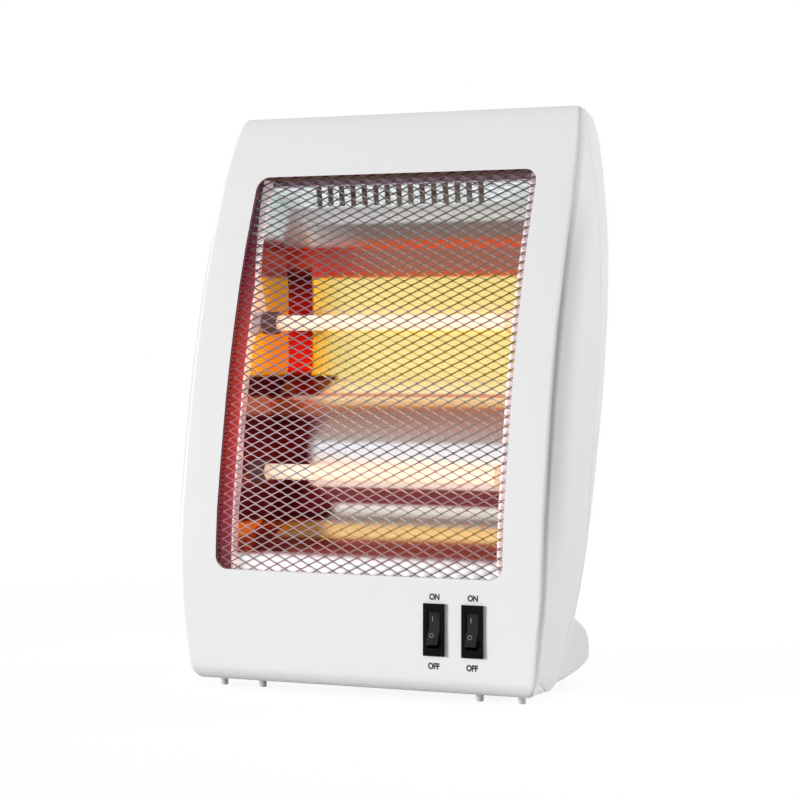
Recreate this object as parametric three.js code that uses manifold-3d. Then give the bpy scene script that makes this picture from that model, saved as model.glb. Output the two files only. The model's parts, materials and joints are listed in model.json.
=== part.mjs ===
// Free-standing heater with two quartz tubes, millimetres, +Z up, front towards -Y.
// Inside this file "depth" runs backwards from the foremost point of the housing face.
import * as THREE from "three";
import Module from "manifold-3d";
import { mergeVertices } from "three/addons/utils/BufferGeometryUtils.js";

const wasm = await Module();
wasm.setup();

// ---- housing -------------------------------------------------------------
const bodyWidth = 236;
const bodyTop = 345;
const floorGap = 5.5;
const bodyTall = bodyTop - floorGap;
const bodyDepth = 113.4;
const wall = 2.4;
const gap = 0.3;
const crownDrop = 5;
const crownShare = 0.045;
const baseShare = 0.01;
const frontEdgeRadius = 4.5;
const rearEdgeRadius = 9;
// Side view of the housing. Each row: height share, front depth share,
// rear depth share, depth share of the joint between the two mouldings.
const sideTable = [
  [0.0, 0.07, 0.3, 0.225], [0.003, 0.05, 0.33, 0.25], [0.01, 0.033, 0.353, 0.275],
  [0.022, 0.018, 0.388, 0.3], [0.04, 0.008, 0.42, 0.327], [0.072, 0.001, 0.467, 0.362],
  [0.128, 0.0, 0.536, 0.428], [0.17, 0.001, 0.585, 0.495], [0.235, 0.005, 0.667, 0.585],
  [0.3, 0.02, 0.738, 0.627], [0.364, 0.05, 0.802, 0.663], [0.43, 0.085, 0.86, 0.695],
  [0.497, 0.122, 0.915, 0.738], [0.56, 0.165, 0.951, 0.77], [0.63, 0.22, 0.986, 0.794],
  [0.69, 0.272, 0.998, 0.803], [0.76, 0.342, 1.0, 0.795], [0.83, 0.425, 0.972, 0.76],
  [0.87, 0.474, 0.95, 0.725], [0.9, 0.512, 0.936, 0.7], [0.93, 0.552, 0.921, 0.685],
  [0.955, 0.587, 0.904, 0.68], [0.975, 0.617, 0.885, 0.68], [0.988, 0.64, 0.86, 0.68],
  [0.996, 0.658, 0.83, 0.68], [1.0, 0.672, 0.795, 0.68],
];
// How far each side of the housing draws in, by height share.
const waistTable = [
  [0, 8.5], [0.01, 6.6], [0.022, 5.6], [0.04, 4.9], [0.072, 3.7], [0.1, 2.5], [0.128, 1.4],
  [0.17, 0.5], [0.235, 0], [0.83, 0], [0.9, 0.8], [0.955, 2.2], [0.988, 3.8], [1, 5],
];
const inBody = (share) => floorGap + bodyTall * share;

// ---- window and guard ------------------------------------------------------
const windowHalf = bodyWidth / 2 - 26.5;
const windowLow = inBody(0.195);
const windowHigh = inBody(0.889);
const windowCorner = 8;
const inWindow = (share) => windowLow + (windowHigh - windowLow) * share;
const guardBorder = 5;
const guardSheet = 0.8;
const guardColumns = 8;
const guardRows = 11;
const guardStrand = 1.5;

// ---- rear cover ------------------------------------------------------------
const ventColumns = [-56, 0, 56];
const ventWidth = 42;
const ventTall = 3.6;
const ventPitch = 8.5;
const ventRows = 9;
const ventLow = inBody(0.4786);
const gripHalf = 38;
const gripLow = inBody(0.7732);
const gripHigh = gripLow + 20;
const gripDepth = 8;
const gripCorner = 6;
const inletX = -24;
const inletHeight = 36;
const inletRadius = 5.4;
const inletBore = 3.4;

// ---- reflector -------------------------------------------------------------
const plateLow = windowLow - 5.7;
const plateHigh = windowHigh - 1.3;
const plateInside = windowHalf - 7;
const plateSheet = 1;
const plateSetback = 9;
const flangeReach = windowHalf + 7.5;
const mirrorSheet = 1;
// Side view of the reflector. Each row: share of the body depth, share of the window height.
const mirrorTable = [
  [0.5423, 0.9859], [0.5644, 0.918], [0.6526, 0.8501], [0.7055, 0.7737], [0.7275, 0.7143],
  [0.7275, 0.5106], [0.6966, 0.4766], [0.4938, 0.4384], [0.485, 0.4214], [0.5291, 0.3663],
  [0.5556, 0.3238], [0.56, 0.1795], [0.5291, 0.1328], [0.2116, 0.0692], [0.1235, 0.0437],
  [0.1102, -0.0136],
];
const slotCount = 15;
const slotPitch = 7.6;
const slotWidth = 3.7;
const slotHeight = 12;
const slotCentre = inWindow(0.9477);
const shieldInset = bodyDepth * 0.106;
const shieldSheet = 0.8;
const plateMargin = 1.5;
const shieldLow = inWindow(0.1116);
const shieldHigh = inWindow(0.952);

// ---- tubes -----------------------------------------------------------------
const tubeRadius = 4.7;
const tubeBore = 3.7;
const tubeEnd = plateInside - 7.5;
const tubeAxes = [
  ["upper", bodyDepth * 0.4515, inWindow(0.621)], ["lower", bodyDepth * 0.3104, inWindow(0.2402)],
];
const filamentRadius = 1.2;
const capRadius = 7;
const capInner = tubeEnd - 2.5;
const capNeck = 4.5;
const capOuter = plateInside + 14.5;
const pinEnd = capOuter - 3;
const clipSize = 19;
const clipSheet = 1;

// ---- switches --------------------------------------------------------------
const switchXs = [bodyWidth / 2 - 67.85, bodyWidth / 2 - 44.25];
const switchHeight = 42.3;
const bezelWidth = 12.9;
const bezelTall = 30;
const bezelProud = 1.7;
const switchBoxWidth = 11.2;
const switchBoxTall = 26;
const switchBoxDepth = 18;
const bladeShift = 8;
const bladeLength = 7;
const rockerWidth = 6.9;
const rockerHalf = 9.4;
const rockerPivot = 2.2;
const rockerTilt = 11;
const rockerWellHalf = 10.5;
const trunnionRadius = 1.2;
const trunnionReach = 1.4;

// ---- feet and pads ---------------------------------------------------------
const footInner = bodyWidth / 2 - 52;
const footOuter = bodyWidth / 2 - 15;
const footEdge = 3;
// Side view of a foot. Each row: share of the body depth, height.
const footTable = [
  [0.2646, 7], [0.5203, 6.5], [0.6526, 7.2], [0.8554, 9.4], [0.97, 11.8], [1.0185, 14],
  [1.0317, 17.5], [1.0317, 23.5], [1.0141, 29], [0.9744, 33.6], [0.9171, 37.3], [0.8263, 41.6],
  [0.6614, 47], [0.3527, 57],
];
const frontPadXs = [bodyWidth / 2 - 48, bodyWidth / 2 - 22];
const frontPadDepth = bodyDepth * 0.1764;
const frontPadRadius = 2.3;
const padStemRadius = 1.4;
const rearPadX = bodyWidth / 2 - 42;
const rearPadDepth = bodyDepth * 0.8907;
const rearPadRadius = 6.5;
const rearPadTop = 8.7;
const footScrewDepth = bodyDepth * 0.4586;
const footScrewSeat = 17;
const footScrewTip = 44;

// ---- tip-over switch -------------------------------------------------------
const tipX = 36 - bodyWidth / 2;
const tipDepth = bodyDepth * 0.6526;
const tipWidth = 12;
const tipLength = 20;
const tipTop = 27;
const tipFloor = 9.6;
const tipTravel = 3.5;
const plungerRadius = 2.2;
const collarRadius = 3;
const collarHeight = 2;
const lipThickness = 1.6;
const springCoils = 5;
const springWire = 0.3;

// ---- screws ----------------------------------------------------------------
const postX = bodyWidth / 2 - 14;
const postRadius = 4;
const coverScrewHeights = [inBody(0.3314), inBody(0.7555)];
const screwRadius = 1.5;
const screwHeadRadius = 3.1;
const screwHeadHeight = 2;
const bossX = windowHalf + 3.5;
const bossRadius = 2.6;
const bossHeights = [windowLow + 10.3, windowHigh - 11.3];

// ---- electrical parts ------------------------------------------------------
const blockX = -34;
const blockDepth = bodyDepth * 0.2116;
const blockTall = 13;
const blockWide = 30;
const blockLong = 15;
const blockStep = 10;
const blockMouth = 6.5;
const cutoutDepth = bodyDepth * 0.441;
const cutoutHeight = inWindow(0.4257);
const wireRadius = 1;
const wireBend = 2.5;

// ---- values that follow from the ones above ---------------------------------
const mirrorProfile = mirrorTable.map(([depth, tall]) => [depth * bodyDepth, inWindow(tall)]);
const plateFace = plateInside - gap;
const blockFloor = floorGap + wall + gap;

const heater = new THREE.Group();
heater.name = "halogen_heater";

// ---- surfaces --------------------------------------------------------------
function material(color, roughness, metalness, extra = {}) {
  return new THREE.MeshStandardMaterial({ color, roughness, metalness, ...extra });
}

const whitePlastic = () => material(0xf2f2f3, 0.4, 0);
const blackPlastic = () => material(0x111113, 0.35, 0);
const polished = () => material(0xd8dadd, 0.18, 1);
const steel = () => material(0xb9bcc0, 0.35, 1);
const ceramic = () => material(0xe9e2d2, 0.6, 0);
const glow = () => material(0xffd27a, 0.4, 0, { emissive: 0xff9a2e, emissiveIntensity: 2 });

// ---- helpers ---------------------------------------------------------------
function solid(geometry) {
  const bare = new THREE.BufferGeometry();
  bare.setAttribute("position", geometry.getAttribute("position").clone());
  if (geometry.index) bare.setIndex(geometry.index.clone());
  const welded = mergeVertices(bare, 1e-4);
  const mesh = new wasm.Mesh({
    numProp: 3,
    vertProperties: new Float32Array(welded.getAttribute("position").array),
    triVerts: new Uint32Array(welded.index.array),
  });
  mesh.merge();
  const body = new wasm.Manifold(mesh);
  return body.volume() < 0 ? turnedOut(mesh) : body;
}

// The same body with its faces pointing out.
function turnedOut(mesh) {
  const corners = mesh.triVerts;
  for (let i = 0; i < corners.length; i += 3) {
    [corners[i + 1], corners[i + 2]] = [corners[i + 2], corners[i + 1]];
  }
  return new wasm.Manifold(mesh);
}

function add(name, body, surface) {
  const mesh = body.getMesh();
  const geometry = new THREE.BufferGeometry();
  geometry.setAttribute("position", new THREE.BufferAttribute(mesh.vertProperties, 3));
  geometry.setIndex(new THREE.BufferAttribute(mesh.triVerts, 1));
  const part = new THREE.Mesh(geometry, surface);
  part.name = name;
  heater.add(part);
}

// Linear reading of a table whose first column rises.
function read(table, at, column) {
  let row = 1;
  while (row < table.length - 1 && table[row][0] < at) row += 1;
  const low = table[row - 1];
  const high = table[row];
  const share = (at - low[0]) / (high[0] - low[0]);
  return low[column] + (high[column] - low[column]) * share;
}

const heightShare = (z) => Math.min(1, Math.max(0, (z - floorGap) / bodyTall));
const slopeFactor = (z, column) => {
  const step = 4;
  const rise = sideDepth(z + step, column) - sideDepth(z - step, column);
  return Math.hypot(1, rise / (2 * step));
};
function sideDepth(z, column) {
  return read(sideTable, heightShare(z), column) * bodyDepth;
}
function frontDepth(z, inset = 0) {
  return sideDepth(z, 1) + (inset ? inset * Math.min(slopeFactor(z, 1), 1.5) : 0);
}
function rearDepth(z, inset = 0) {
  return sideDepth(z, 2) - (inset ? inset * Math.min(slopeFactor(z, 2), 1.5) : 0);
}
function halfWidth(z, inset = 0) {
  return bodyWidth / 2 - read(waistTable, heightShare(z), 1) - inset;
}

// Heights from low to high in equal steps.
function heights(low, high, count) {
  return Array.from({ length: count + 1 }, (_, i) => low + ((high - low) * i) / count);
}

// A prism whose outline is given as [depth, height] and that runs along X.
function prism(outline, left, right) {
  const shape = new THREE.Shape(outline.map(([d, z]) => new THREE.Vector2(d, z)));
  const geometry = new THREE.ExtrudeGeometry(shape, { depth: right - left, bevelEnabled: false });
  geometry.applyMatrix4(new THREE.Matrix4().set(0, 0, 1, left, 1, 0, 0, 0, 0, 1, 0, 0, 0, 0, 0, 1));
  return solid(geometry);
}

function box(x0, x1, d0, d1, z0, z1) {
  const geometry = new THREE.BoxGeometry(x1 - x0, d1 - d0, z1 - z0);
  geometry.translate((x0 + x1) / 2, (d0 + d1) / 2, (z0 + z1) / 2);
  return solid(geometry);
}

// Turned piece: rows are [radius, position along the axis].
function turned(rows, sides = 16) {
  const points = rows.map(([r, h]) => new THREE.Vector2(r, h));
  return new THREE.LatheGeometry(points, sides);
}

function along(geometry, axis, x, d, z) {
  if (axis === "x") geometry.rotateZ(-Math.PI / 2);
  if (axis === "z") geometry.rotateX(Math.PI / 2);
  geometry.translate(x, d, z);
  return solid(geometry);
}

// A plain round bar between two stations on one axis.
function bar(axis, radius, from, to, x, d, z, sides = 16) {
  const rows = [[0, from], [radius, from], [radius, to], [0, to]];
  return along(turned(rows, sides), axis, x, d, z);
}

function roundedRect(halfX, low, high, radius) {
  const shape = new THREE.Shape();
  shape.moveTo(-halfX + radius, low);
  shape.lineTo(halfX - radius, low);
  shape.absarc(halfX - radius, low + radius, radius, -Math.PI / 2, 0, false);
  shape.lineTo(halfX, high - radius);
  shape.absarc(halfX - radius, high - radius, radius, 0, Math.PI / 2, false);
  shape.lineTo(-halfX + radius, high);
  shape.absarc(-halfX + radius, high - radius, radius, Math.PI / 2, Math.PI, false);
  shape.lineTo(-halfX, low + radius);
  shape.absarc(-halfX + radius, low + radius, radius, Math.PI, Math.PI * 1.5, false);
  return shape;
}

// A prism whose outline is a shape in X and Z and that runs along the depth.
function cutter(shape, from, to, segments = 5) {
  const options = { depth: to - from, bevelEnabled: false, curveSegments: segments };
  const geometry = new THREE.ExtrudeGeometry(shape, options);
  geometry.rotateX(Math.PI / 2);
  geometry.scale(1, -1, 1);
  geometry.translate(0, from, 0);
  return solid(geometry);
}

function union(...bodies) {
  return wasm.Manifold.union(bodies);
}

// ---- housing solid ---------------------------------------------------------
// The housing is lofted through rings: the widest ring in the middle, then rings that
// draw in towards the side faces and so round the edges.
function housing(inset) {
  const low = floorGap + inset;
  const high = bodyTop - (inset > 0 ? crownDrop : inset);
  const shares = sideTable.map((row) => row[0]);
  const levels = shares.map((share) => low + (high - low) * share);
  const steps = 3;
  const rings = [];
  for (let side = -1; side <= 1; side += 2) {
    for (let k = 0; k <= steps; k += 1) {
      const turn = ((side < 0 ? steps - k : k) / steps) * (Math.PI / 2);
      rings.push(housingRing(levels, inset, side, turn));
    }
  }
  return solid(loft(rings, levels.length));
}

function housingRing(levels, inset, side, turn) {
  const middle = (floorGap + bodyTop) / 2;
  const draw = 1 - Math.cos(turn);
  const frontRadius = Math.max(frontEdgeRadius - inset, 0.8);
  const rearRadius = Math.max(rearEdgeRadius - inset, 0.8);
  const fronts = [];
  const rears = [];
  for (const z of levels) {
    const front = frontDepth(z, inset);
    const rear = rearDepth(z, inset);
    const room = Math.min(1, (rear - front) / (1.7 * (frontRadius + rearRadius)));
    const share = z < middle ? baseShare : crownShare;
    const frontLift = middle + (z - middle) * (1 - crownShare * draw);
    const rearLift = middle + (z - middle) * (1 - share * draw);
    const half = halfWidth(z, inset);
    const sine = 1 - Math.sin(turn);
    fronts.push([side * (half - frontRadius * sine), front + frontRadius * room * draw, frontLift]);
    rears.push([side * (half - rearRadius * sine), rear - rearRadius * room * draw, rearLift]);
  }
  return [...fronts, ...rears.reverse()];
}

function loft(rings, levelCount) {
  const count = rings[0].length;
  const positions = rings.flat().flat();
  const index = [];
  for (let r = 0; r < rings.length - 1; r += 1) {
    for (let i = 0; i < count; i += 1) {
      const j = (i + 1) % count;
      const a = r * count;
      const b = (r + 1) * count;
      index.push(a + i, b + i, b + j, a + i, b + j, a + j);
    }
  }
  const last = (rings.length - 1) * count;
  for (let i = 0; i < levelCount - 1; i += 1) {
    const far = count - 1 - i;
    index.push(i, i + 1, far - 1, i, far - 1, far);
    index.push(last + i, last + far - 1, last + i + 1, last + i, last + far, last + far - 1);
  }
  const geometry = new THREE.BufferGeometry();
  geometry.setAttribute("position", new THREE.Float32BufferAttribute(positions, 3));
  geometry.setIndex(index);
  return geometry;
}

// Everything in front of (or behind) the joint between the two mouldings.
function jointSide(front, offset) {
  const reach = bodyWidth;
  const far = front ? -60 : bodyDepth + 60;
  const line = sideTable.map((row) => {
    return [row[3] * bodyDepth + offset, floorGap + row[0] * bodyTall];
  });
  const low = [line[0][0], -40];
  const high = [line[line.length - 1][0], bodyTop + 40];
  const outline = [low, ...line, high, [far, bodyTop + 40], [far, -40]];
  return prism(front ? outline : outline.reverse(), -reach, reach);
}

const outerBody = housing(0);
const innerBody = housing(wall);
const skin = outerBody.subtract(innerBody);

const postEnd = (z) => rearDepth(z, wall) - 9;
const bossEnd = (z) => frontDepth(z - bossRadius - gap) + plateSetback - gap;

function frontShell() {
  let shell = skin.intersect(jointSide(true, 0));
  const posts = [];
  for (const side of [-1, 1]) {
    for (const z of coverScrewHeights) {
      const start = frontDepth(z, wall / 2);
      posts.push(bar("y", postRadius, start, postEnd(z), side * postX, 0, z, 12));
    }
    for (const z of bossHeights) {
      const start = frontDepth(z, wall / 2);
      posts.push(bar("y", bossRadius, start, bossEnd(z), side * bossX, 0, z, 12));
    }
  }
  shell = union(shell, ...posts.map((post) => post.intersect(outerBody)));
  const cuts = [cutter(roundedRect(windowHalf, windowLow, windowHigh, windowCorner), -5, bodyDepth)];
  for (const x of switchXs) {
    const half = switchBoxWidth / 2 + gap;
    const tall = switchBoxTall / 2 + gap;
    cuts.push(box(x - half, x + half, -5, 8, switchHeight - tall, switchHeight + tall));
  }
  for (const side of [-1, 1]) {
    for (const z of coverScrewHeights) {
      cuts.push(bar("y", screwRadius + 0.15, postEnd(z) - 12, postEnd(z) + 5, side * postX, 0, z, 10));
    }
    for (const z of bossHeights) {
      cuts.push(bar("y", screwRadius + 0.15, bossEnd(z) - 5, bossEnd(z) + 5, side * bossX, 0, z, 10));
    }
    for (const x of frontPadXs) {
      cuts.push(bar("z", padStemRadius + 0.15, 0, 12, side * x, frontPadDepth, 0, 10));
    }
  }
  add("front_shell", shell.subtract(union(...cuts)), whitePlastic());
}

// ---- rear cover ------------------------------------------------------------
// Tilt of the rear face at a height, as an angle about X.
function rearTilt(z) {
  return Math.atan2(rearDepth(z + 6) - rearDepth(z - 6), 12);
}

function gripBox(grow) {
  const shape = roundedRect(gripHalf + grow, gripLow - grow, gripHigh + grow, gripCorner + grow);
  const floor = rearDepth(gripHigh) - gripDepth - grow;
  return cutter(shape, floor, bodyDepth + 10, 4);
}

function inletAxis(rows, sides) {
  const geometry = turned(rows, sides);
  geometry.rotateX(-rearTilt(inletHeight));
  geometry.translate(inletX, rearDepth(inletHeight), inletHeight);
  return solid(geometry);
}

function rearCover() {
  let cover = skin.intersect(jointSide(false, gap));
  const additions = [gripBox(wall).intersect(outerBody)];
  for (const side of [-1, 1]) {
    for (const z of coverScrewHeights) {
      const stop = rearDepth(z, wall / 2);
      additions.push(bar("y", 5, postEnd(z) + gap, stop, side * postX, 0, z, 12).intersect(outerBody));
    }
  }
  cover = union(cover, ...additions);
  const cuts = [gripBox(0)];
  for (const x of ventColumns) {
    for (let row = 0; row < ventRows; row += 1) {
      const z = ventLow + row * ventPitch;
      const start = rearDepth(z) - 10;
      cuts.push(box(x - ventWidth / 2, x + ventWidth / 2, start, bodyDepth + 5, z, z + ventTall));
    }
  }
  for (const side of [-1, 1]) {
    for (const z of coverScrewHeights) {
      const head = postEnd(z) + 4;
      cuts.push(bar("y", screwRadius + 0.2, head - 12, head + 2, side * postX, 0, z, 10));
      cuts.push(bar("y", screwHeadRadius + gap, head, bodyDepth + 9, side * postX, 0, z, 14));
    }
    const shaft = footScrewX(side);
    cuts.push(bar("z", screwRadius + 0.2, 20, 70, shaft, footScrewDepth, 0, 10));
  }
  cuts.push(inletAxis([[0, -8], [inletRadius + 0.2, -8], [inletRadius + 0.2, 8], [0, 8]], 18));
  add("rear_cover", cover.subtract(union(...cuts)), whitePlastic());
}

function coverScrews() {
  const names = ["lower", "upper"];
  for (const side of [-1, 1]) {
    coverScrewHeights.forEach((z, i) => {
      const seat = postEnd(z) + 4 + 0.15;
      const rows = [
        [0, seat - 11], [screwRadius, seat - 10], [screwRadius, seat],
        [screwHeadRadius, seat], [screwHeadRadius * 0.8, seat + screwHeadHeight],
        [0, seat + screwHeadHeight],
      ];
      const screw = along(turned(rows, 12), "y", side * postX, 0, z);
      const slot = box(side * postX - 2, side * postX + 2, seat + 1.2, seat + 5, z - 0.4, z + 0.4);
      add(`cover_screw_${names[i]}_${side < 0 ? "left" : "right"}`, screw.subtract(slot), steel());
    });
  }
}

// ---- feet ------------------------------------------------------------------
const footScrewX = (side) => side * ((footInner + footOuter) / 2 - 4);

function footSolid(side) {
  const shape = new THREE.Shape(footTable.map(([d, z]) => new THREE.Vector2(d * bodyDepth, z)));
  const options = {
    depth: footOuter - footInner - 2 * footEdge, bevelEnabled: true, bevelThickness: footEdge,
    bevelSize: footEdge, bevelOffset: -footEdge, bevelSegments: 3,
  };
  const geometry = new THREE.ExtrudeGeometry(shape, options);
  const left = (side < 0 ? -footOuter : footInner) + footEdge;
  geometry.applyMatrix4(new THREE.Matrix4().set(0, 0, 1, left, 1, 0, 0, 0, 0, 1, 0, 0, 0, 0, 0, 1));
  return solid(geometry);
}

// The room the feet leave for the housing.
const clearanceBody = union(
  outerBody, outerBody.translate([0, gap, 0]), outerBody.translate([0, 0, -gap]),
);

function foot(side) {
  const word = side < 0 ? "left" : "right";
  let body = footSolid(side).subtract(clearanceBody);
  const cuts = [];
  const screwX = footScrewX(side);
  cuts.push(bar("z", screwRadius + 0.2, 0, 70, screwX, footScrewDepth, 0, 10));
  cuts.push(bar("z", screwHeadRadius + gap, 0, footScrewSeat, screwX, footScrewDepth, 0, 14));
  cuts.push(bar("z", padStemRadius + 0.15, 0, 19, side * rearPadX, rearPadDepth, 0, 10));
  if (side < 0) {
    const half = tipWidth / 2 + gap;
    const long = tipLength / 2 + gap;
    cuts.push(box(tipX - half, tipX + half, tipDepth - long, tipDepth + long, 0, tipTop + gap));
  }
  body = body.subtract(union(...cuts));
  const pieces = body.decompose().sort((a, b) => b.volume() - a.volume());
  add(`foot_${word}`, pieces[0], whitePlastic());
  const seat = footScrewSeat - 0.15;
  const rows = [
    [0, seat - screwHeadHeight], [screwHeadRadius * 0.8, seat - screwHeadHeight],
    [screwHeadRadius, seat], [screwRadius, seat], [screwRadius, footScrewTip - 1], [0, footScrewTip],
  ];
  add(`foot_screw_${word}`, along(turned(rows, 12), "z", screwX, footScrewDepth, 0), steel());
}

function pads() {
  let number = 1;
  for (const side of [-1, 1]) {
    for (const x of frontPadXs) {
      const top = floorGap - gap;
      const rows = [
        [0, 0], [frontPadRadius - 0.4, 0], [frontPadRadius, 0.5], [frontPadRadius, top],
        [padStemRadius, top], [padStemRadius, floorGap + wall], [0, floorGap + wall],
      ];
      const pad = along(turned(rows, 14), "z", side * x, frontPadDepth, 0);
      add(`front_pad_${number}`, pad, whitePlastic());
      number += 1;
    }
    const top = rearPadTop;
    const rows = [
      [0, 0], [rearPadRadius - 1, 0], [rearPadRadius, 1], [rearPadRadius, top],
      [padStemRadius, top], [padStemRadius, top + 7], [0, top + 7],
    ];
    const pad = along(turned(rows, 18), "z", side * rearPadX, rearPadDepth, 0);
    const word = side < 0 ? "left" : "right";
    add(`rear_pad_${word}`, pad, material(0x2a2a2c, 0.85, 0));
  }
}

// ---- tip-over switch -------------------------------------------------------
function tipSwitch() {
  const halfW = tipWidth / 2;
  const halfL = tipLength / 2;
  const borePocket = tipTop - 2;
  const lipTop = tipFloor + lipThickness;
  const body = box(tipX - halfW, tipX + halfW, tipDepth - halfL, tipDepth + halfL, tipFloor, tipTop);
  const bore = bar("z", collarRadius + gap, lipTop, borePocket, tipX, tipDepth, 0, 18);
  const mouth = bar("z", plungerRadius + gap, 0, lipTop + 1, tipX, tipDepth, 0, 18);
  add("tipover_switch_body", body.subtract(union(bore, mouth)), blackPlastic());
  const collarLow = lipTop + tipTravel + gap;
  const collarTop = collarLow + collarHeight;
  const rows = [
    [0, 0], [plungerRadius - 0.6, 0], [plungerRadius, 0.8], [plungerRadius, collarLow],
    [collarRadius, collarLow], [collarRadius, collarTop], [0, collarTop],
  ];
  add("tipover_plunger", along(turned(rows, 18), "z", tipX, tipDepth, 0), material(0xd9d4c4, 0.5, 0));
  const coilLow = collarTop + 0.15;
  const coilHigh = borePocket - 0.15;
  const bottom = coilLow + springWire;
  const rise = coilHigh - coilLow - 2 * springWire;
  const radius = collarRadius - springWire - 0.2;
  add("tipover_spring", coil(radius, springWire, bottom, rise, springCoils, tipX, tipDepth), steel());
}

// A wound wire: 8 steps a turn, 5 sides. It rises along Z round the axis at x and depth d.
function coil(radius, wire, start, rise, turns, x, d) {
  const stepsPerTurn = 8;
  const steps = turns * stepsPerTurn;
  const points = [];
  for (let i = 0; i <= steps; i += 1) {
    const angle = (i / stepsPerTurn) * Math.PI * 2;
    const height = start + (rise * i) / steps;
    points.push(new THREE.Vector3(x + radius * Math.cos(angle), d + radius * Math.sin(angle), height));
  }
  console.log(`least gap of the coil to itself ${(rise / turns - 2 * wire).toFixed(2)} mm`);
  return swept(points, wire, 5);
}

// A round bar swept straight from point to point, mitred at each and flat at its ends.
function swept(points, radius, sides) {
  const runs = points.slice(1).map((point, i) => point.clone().sub(points[i]).normalize());
  const side = new THREE.Vector3(0.31, 0.52, 0.8).cross(runs[0]).normalize();
  const up = new THREE.Vector3().crossVectors(runs[0], side);
  let ring = Array.from({ length: sides }, (_, k) => {
    const angle = (k / sides) * Math.PI * 2;
    const out = side.clone().multiplyScalar(Math.cos(angle)).addScaledVector(up, Math.sin(angle));
    return points[0].clone().addScaledVector(out, radius);
  });
  const rings = [ring];
  runs.forEach((run, i) => {
    const facing = run.clone().add(runs[i + 1] ?? run);
    ring = ring.map((corner) => {
      const ahead = points[i + 1].clone().sub(corner).dot(facing) / run.dot(facing);
      return corner.clone().addScaledVector(run, ahead);
    });
    rings.push(ring);
  });
  const index = [];
  for (let i = 0; i < runs.length; i += 1) {
    for (let k = 0; k < sides; k += 1) {
      const n = (k + 1) % sides;
      const a = i * sides;
      const b = a + sides;
      index.push(a + k, a + n, b + n, a + k, b + n, b + k);
    }
  }
  for (let k = 1; k < sides - 1; k += 1) {
    const end = runs.length * sides;
    index.push(0, k + 1, k, end, end + k, end + k + 1);
  }
  const geometry = new THREE.BufferGeometry();
  geometry.setFromPoints(rings.flat());
  geometry.setIndex(index);
  return solid(geometry);
}

// ---- guard -----------------------------------------------------------------
function guard() {
  const offset = wall + gap;
  const back = offset + guardSheet;
  const halfX = windowHalf + guardBorder;
  const low = windowLow - guardBorder;
  const high = windowHigh + guardBorder;
  const levels = heights(low, high, 16);
  const outline = [
    ...levels.map((z) => [frontDepth(z, offset), z]),
    ...levels.reverse().map((z) => [frontDepth(z, back), z]),
  ];
  let sheet = prism(outline.reverse(), -halfX, halfX);
  const meshHalf = windowHalf - 1;
  const meshLow = windowLow + 1;
  const meshHigh = windowHigh - 1;
  const pitchX = (2 * meshHalf) / guardColumns;
  const pitchZ = (meshHigh - meshLow) / guardRows;
  const slope = guardStrand / 2;
  const holes = [];
  for (let row = 0; row < 2 * guardRows - 1; row += 1) {
    const odd = row % 2;
    const z = meshLow + ((row + 1) * pitchZ) / 2;
    const count = guardColumns - odd;
    for (let column = 0; column < count; column += 1) {
      const x = -meshHalf + (column + 0.5 + odd / 2) * pitchX;
      holes.push(diamond(x, z, pitchX / 2 - slope * 1.6, pitchZ / 2 - slope, guardCut(z)));
    }
  }
  for (const side of [-1, 1]) {
    for (const z of bossHeights) {
      holes.push(bar("y", bossRadius + gap, frontDepth(z) - 2, bossEnd(z) + 3, side * bossX, 0, z, 12));
    }
  }
  sheet = sheet.subtract(wasm.Manifold.union(holes));
  add("guard", sheet, steel());
}

const guardCut = (z) => [frontDepth(z - 8) - 2, frontDepth(z + 8) + 12];

function diamond(x, z, halfX, halfZ, [from, to]) {
  const shape = new THREE.Shape();
  shape.moveTo(x - halfX, z);
  shape.lineTo(x, z - halfZ);
  shape.lineTo(x + halfX, z);
  shape.lineTo(x, z + halfZ);
  return cutter(shape, from, to);
}

// ---- reflector -------------------------------------------------------------
// Offsets an open line of [depth, height] points to its rear side.
function offsetLine(line, distance) {
  return line.map((point, i) => {
    const before = line[Math.max(i - 1, 0)];
    const after = line[Math.min(i + 1, line.length - 1)];
    const run = unit(before, point) ?? unit(point, after);
    const next = unit(point, after) ?? run;
    const normal = [-(run[1] + next[1]), run[0] + next[0]];
    const length = Math.hypot(...normal);
    const spread = distance / ((length / 2) * 1);
    const nd = normal[0] / length;
    const nz = normal[1] / length;
    return [point[0] + nd * spread, point[1] + nz * spread];
  });
}

function unit(from, to) {
  const d = to[0] - from[0];
  const z = to[1] - from[1];
  const length = Math.hypot(d, z);
  return length < 1e-9 ? null : [d / length, z / length];
}

function reflector() {
  const rear = offsetLine(mirrorProfile, mirrorSheet);
  const half = plateInside - gap;
  let sheet = prism([...mirrorProfile, ...rear.reverse()], -half, half);
  const cuts = [];
  for (let i = 0; i < slotCount; i += 1) {
    const x = (i - (slotCount - 1) / 2) * slotPitch;
    const low = slotCentre - slotHeight / 2;
    const [fore, back] = [bodyDepth * 0.44, bodyDepth * 0.635];
    cuts.push(box(x - slotWidth / 2, x + slotWidth / 2, fore, back, low, low + slotHeight));
  }
  sheet = sheet.subtract(union(...cuts));
  add("reflector", sheet, polished());
}

const shieldFront = (z) => rearDepth(z, wall + shieldInset) - shieldSheet;

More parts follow.
